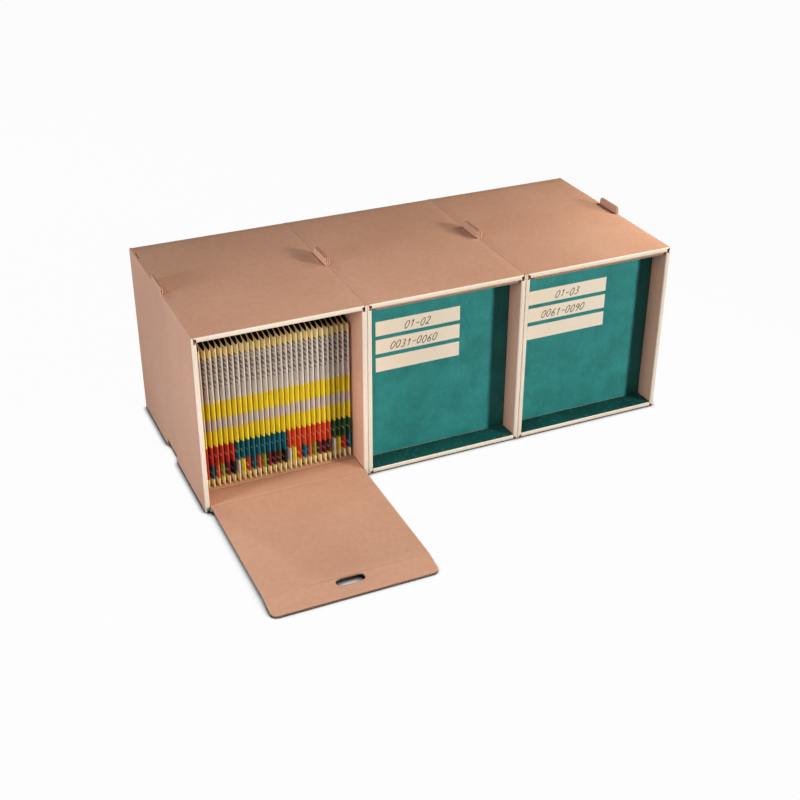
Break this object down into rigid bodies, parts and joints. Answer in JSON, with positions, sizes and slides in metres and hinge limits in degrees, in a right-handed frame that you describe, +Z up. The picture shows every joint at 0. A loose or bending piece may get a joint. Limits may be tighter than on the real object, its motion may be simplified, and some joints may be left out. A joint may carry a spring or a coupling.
{
  "type": "archive storage box row",
  "caption": "Row of corrugated-board archive boxes with drop-front doors and tuck lips, one open and filled with upright card files.",
  "frame": {"origin": "middle of the row's footprint, on the surface it stands on", "axes": "+X to the right along the row, +Y to the back, +Z up; the doors face -Y"},
  "size_m": [0.8046, 0.6285, 0.308],
  "materials": {
    "kraft": "matt pinkish-tan kraft liner on corrugated board",
    "green_print": "matt green print on the outer side of corrugated board",
    "file_card": "smooth yellow index card with coloured bands on the front edge"
  },
  "bodies": {
    "shells": {"box_1_base": "kraft", "box_1_left_wall": "kraft", "box_1_right_wall": "kraft", "box_1_left_lining": "kraft", "box_1_right_lining": "kraft", "box_1_top": "kraft", "box_1_back": "kraft", "box_1_floor_liner": "kraft", "box_2_base": "kraft", "box_2_left_wall": "kraft", "box_2_right_wall": "kraft", "box_2_left_lining": "kraft", "box_2_right_lining": "kraft", "box_2_top": "kraft", "box_2_back": "kraft", "box_2_floor_liner": "kraft", "box_3_base": "kraft", "box_3_left_wall": "kraft", "box_3_right_wall": "kraft", "box_3_left_lining": "kraft", "box_3_right_lining": "kraft", "box_3_top": "kraft", "box_3_back": "kraft", "box_3_floor_liner": "kraft"},
    "door_1": {"box_1_door": "green_print"},
    "lip_1": {"box_1_lip": "green_print"},
    "door_2": {"box_2_door": "green_print"},
    "lip_2": {"box_2_lip": "green_print"},
    "door_3": {"box_3_door": "green_print"},
    "lip_3": {"box_3_lip": "green_print"},
    "files": {"file_01": "file_card", "file_02": "file_card", "file_03": "file_card", "file_04": "file_card", "file_05": "file_card", "file_06": "file_card", "file_07": "file_card", "file_08": "file_card", "file_09": "file_card", "file_10": "file_card", "file_11": "file_card", "file_12": "file_card", "file_13": "file_card", "file_14": "file_card", "file_15": "file_card", "file_16": "file_card", "file_17": "file_card", "file_18": "file_card", "file_19": "file_card", "file_20": "file_card", "file_21": "file_card", "file_22": "file_card", "file_23": "file_card", "file_24": "file_card", "file_25": "file_card", "file_26": "file_card", "file_27": "file_card", "file_28": "file_card", "file_29": "file_card", "file_30": "file_card"}
  },
  "joints": [
    {"name": "door_1_hinge", "type": "hinge", "parent": "shells", "child": "door_1", "pos_m": [-0.2683, -0.139, 0.0076], "axis": [-1, 0, 0], "range_deg": [0, 90]},
    {"name": "lip_1_crease", "type": "hinge", "parent": "door_1", "child": "lip_1", "pos_m": [-0.2683, -0.4163, 0.0076], "axis": [1, 0, 0], "range_deg": [0, 78.37]},
    {"name": "door_2_hinge", "type": "hinge", "parent": "shells", "child": "door_2", "pos_m": [0, -0.139, 0.0076], "axis": [1, 0, 0], "range_deg": [0, 90]},
    {"name": "lip_2_crease", "type": "hinge", "parent": "door_2", "child": "lip_2", "pos_m": [0, -0.139, 0.2849], "axis": [-1, 0, 0], "range_deg": [0, 78.37]},
    {"name": "door_3_hinge", "type": "hinge", "parent": "shells", "child": "door_3", "pos_m": [0.2683, -0.139, 0.0076], "axis": [1, 0, 0], "range_deg": [0, 90]},
    {"name": "lip_3_crease", "type": "hinge", "parent": "door_3", "child": "lip_3", "pos_m": [0.2683, -0.139, 0.2849], "axis": [-1, 0, 0], "range_deg": [0, 78.37]},
    {"name": "files_slide", "type": "slide", "parent": "shells", "child": "files", "axis": [0, -1, 0], "range_m": [0, 0.36]}
  ],
  "couplings": [
    {"joint": "lip_1_crease", "follows": "door_1_hinge", "ratio": 0.87072},
    {"joint": "lip_2_crease", "follows": "door_2_hinge", "ratio": 0.87072},
    {"joint": "lip_3_crease", "follows": "door_3_hinge", "ratio": 0.87072}
  ]
}
